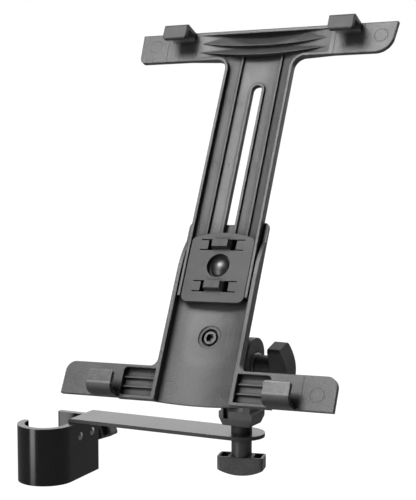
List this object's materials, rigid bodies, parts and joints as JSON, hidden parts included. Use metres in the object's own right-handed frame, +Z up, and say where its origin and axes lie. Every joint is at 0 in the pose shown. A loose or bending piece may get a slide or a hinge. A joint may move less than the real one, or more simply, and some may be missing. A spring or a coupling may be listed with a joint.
{
  "type": "tablet holder",
  "caption": "Extending tablet holder with four hooks, tilting and turning on a flat steel arm with a screw clamp for a microphone or music stand tube.",
  "frame": {"origin": "centre of the clamp jaw's round seat, halfway up the jaw, on the axis of the largest tube it takes", "axes": "+Z up along the clamped tube, +X along the flat arm from the clamp towards the swivel, +Y from the round seat towards the clamp screw"},
  "size_m": [0.2525, 0.1453, 0.321],
  "materials": {
    "jaw_coat": "smooth semi-gloss black coat on an aluminium section",
    "arm_coat": "satin grey coat on flat steel",
    "bright_steel": "zinc plated steel",
    "knob_plastic": "fine grained dark plastic",
    "yoke_plastic": "fine grained dark plastic",
    "frame_plastic": "grey moulded plastic with a spark-eroded grain",
    "plate_plastic": "grey moulded plastic, slightly darker",
    "pad_rubber": "black rubber"
  },
  "bodies": {
    "clamp": {"clamp_jaw": "jaw_coat", "support_arm": "arm_coat", "clamp_rivets": "bright_steel", "swivel_washer": "bright_steel"},
    "pad": {"pressure_pad": "pad_rubber"},
    "clamp_spindle": {"clamp_screw": "bright_steel", "clamp_knob": "knob_plastic"},
    "turret": {"swivel_spacer": "knob_plastic", "yoke": "yoke_plastic", "tilt_nut": "bright_steel", "tilt_washer": "bright_steel"},
    "swivel_lock": {"swivel_bolt": "bright_steel", "swivel_knob": "knob_plastic"},
    "tilt_lock": {"tilt_bolt": "bright_steel", "tilt_knob": "knob_plastic"},
    "head": {"pivot_head": "yoke_plastic", "friction_ring": "pad_rubber", "pivot_screw": "bright_steel", "pivot_washer": "pad_rubber"},
    "holder": {"lower_frame": "frame_plastic", "slide_plate": "plate_plastic", "slide_screw": "bright_steel", "slide_nut": "bright_steel", "slide_washer": "bright_steel"},
    "extension": {"upper_frame": "frame_plastic"}
  },
  "joints": [
    {"name": "clamp_feed", "type": "slide", "parent": "clamp", "child": "pad", "axis": [0, -1, 0], "range_m": [0, 0.012]},
    {"name": "clamp_turn", "type": "hinge", "parent": "pad", "child": "clamp_spindle", "pos_m": [0, 0.04, 0], "axis": [0, -1, 0], "range_deg": [0, 3456]},
    {"name": "swivel", "type": "hinge", "parent": "clamp", "child": "turret", "pos_m": [0.1388, 0.0245, 0.0225], "axis": [0, 0, 1], "continuous": true},
    {"name": "swivel_lock_turn", "type": "hinge", "parent": "turret", "child": "swivel_lock", "pos_m": [0.1388, 0.0245, 0.01], "axis": [0, 0, 1], "range_deg": [-360, 0]},
    {"name": "tilt", "type": "hinge", "parent": "turret", "child": "head", "pos_m": [0.1388, 0.0245, 0.0695], "axis": [-0.9985, 0.0541, 0], "range_deg": [-28.2, 54]},
    {"name": "tilt_lock_turn", "type": "hinge", "parent": "turret", "child": "tilt_lock", "pos_m": [0.16376, 0.02315, 0.0695], "axis": [-0.9985, 0.0541, 0], "range_deg": [-360, 0]},
    {"name": "holder_turn", "type": "hinge", "parent": "head", "child": "holder", "pos_m": [0.13594, -0.0283, 0.09785], "axis": [-0.0477, -0.88, 0.4726], "continuous": true},
    {"name": "extension_slide", "type": "slide", "parent": "holder", "child": "extension", "axis": [-0.0128, 0.4736, 0.8807], "range_m": [-0.11, 0]}
  ],
  "couplings": [
    {"joint": "clamp_feed", "follows": "clamp_turn", "m_per_rad": 0.00019894}
  ]
}
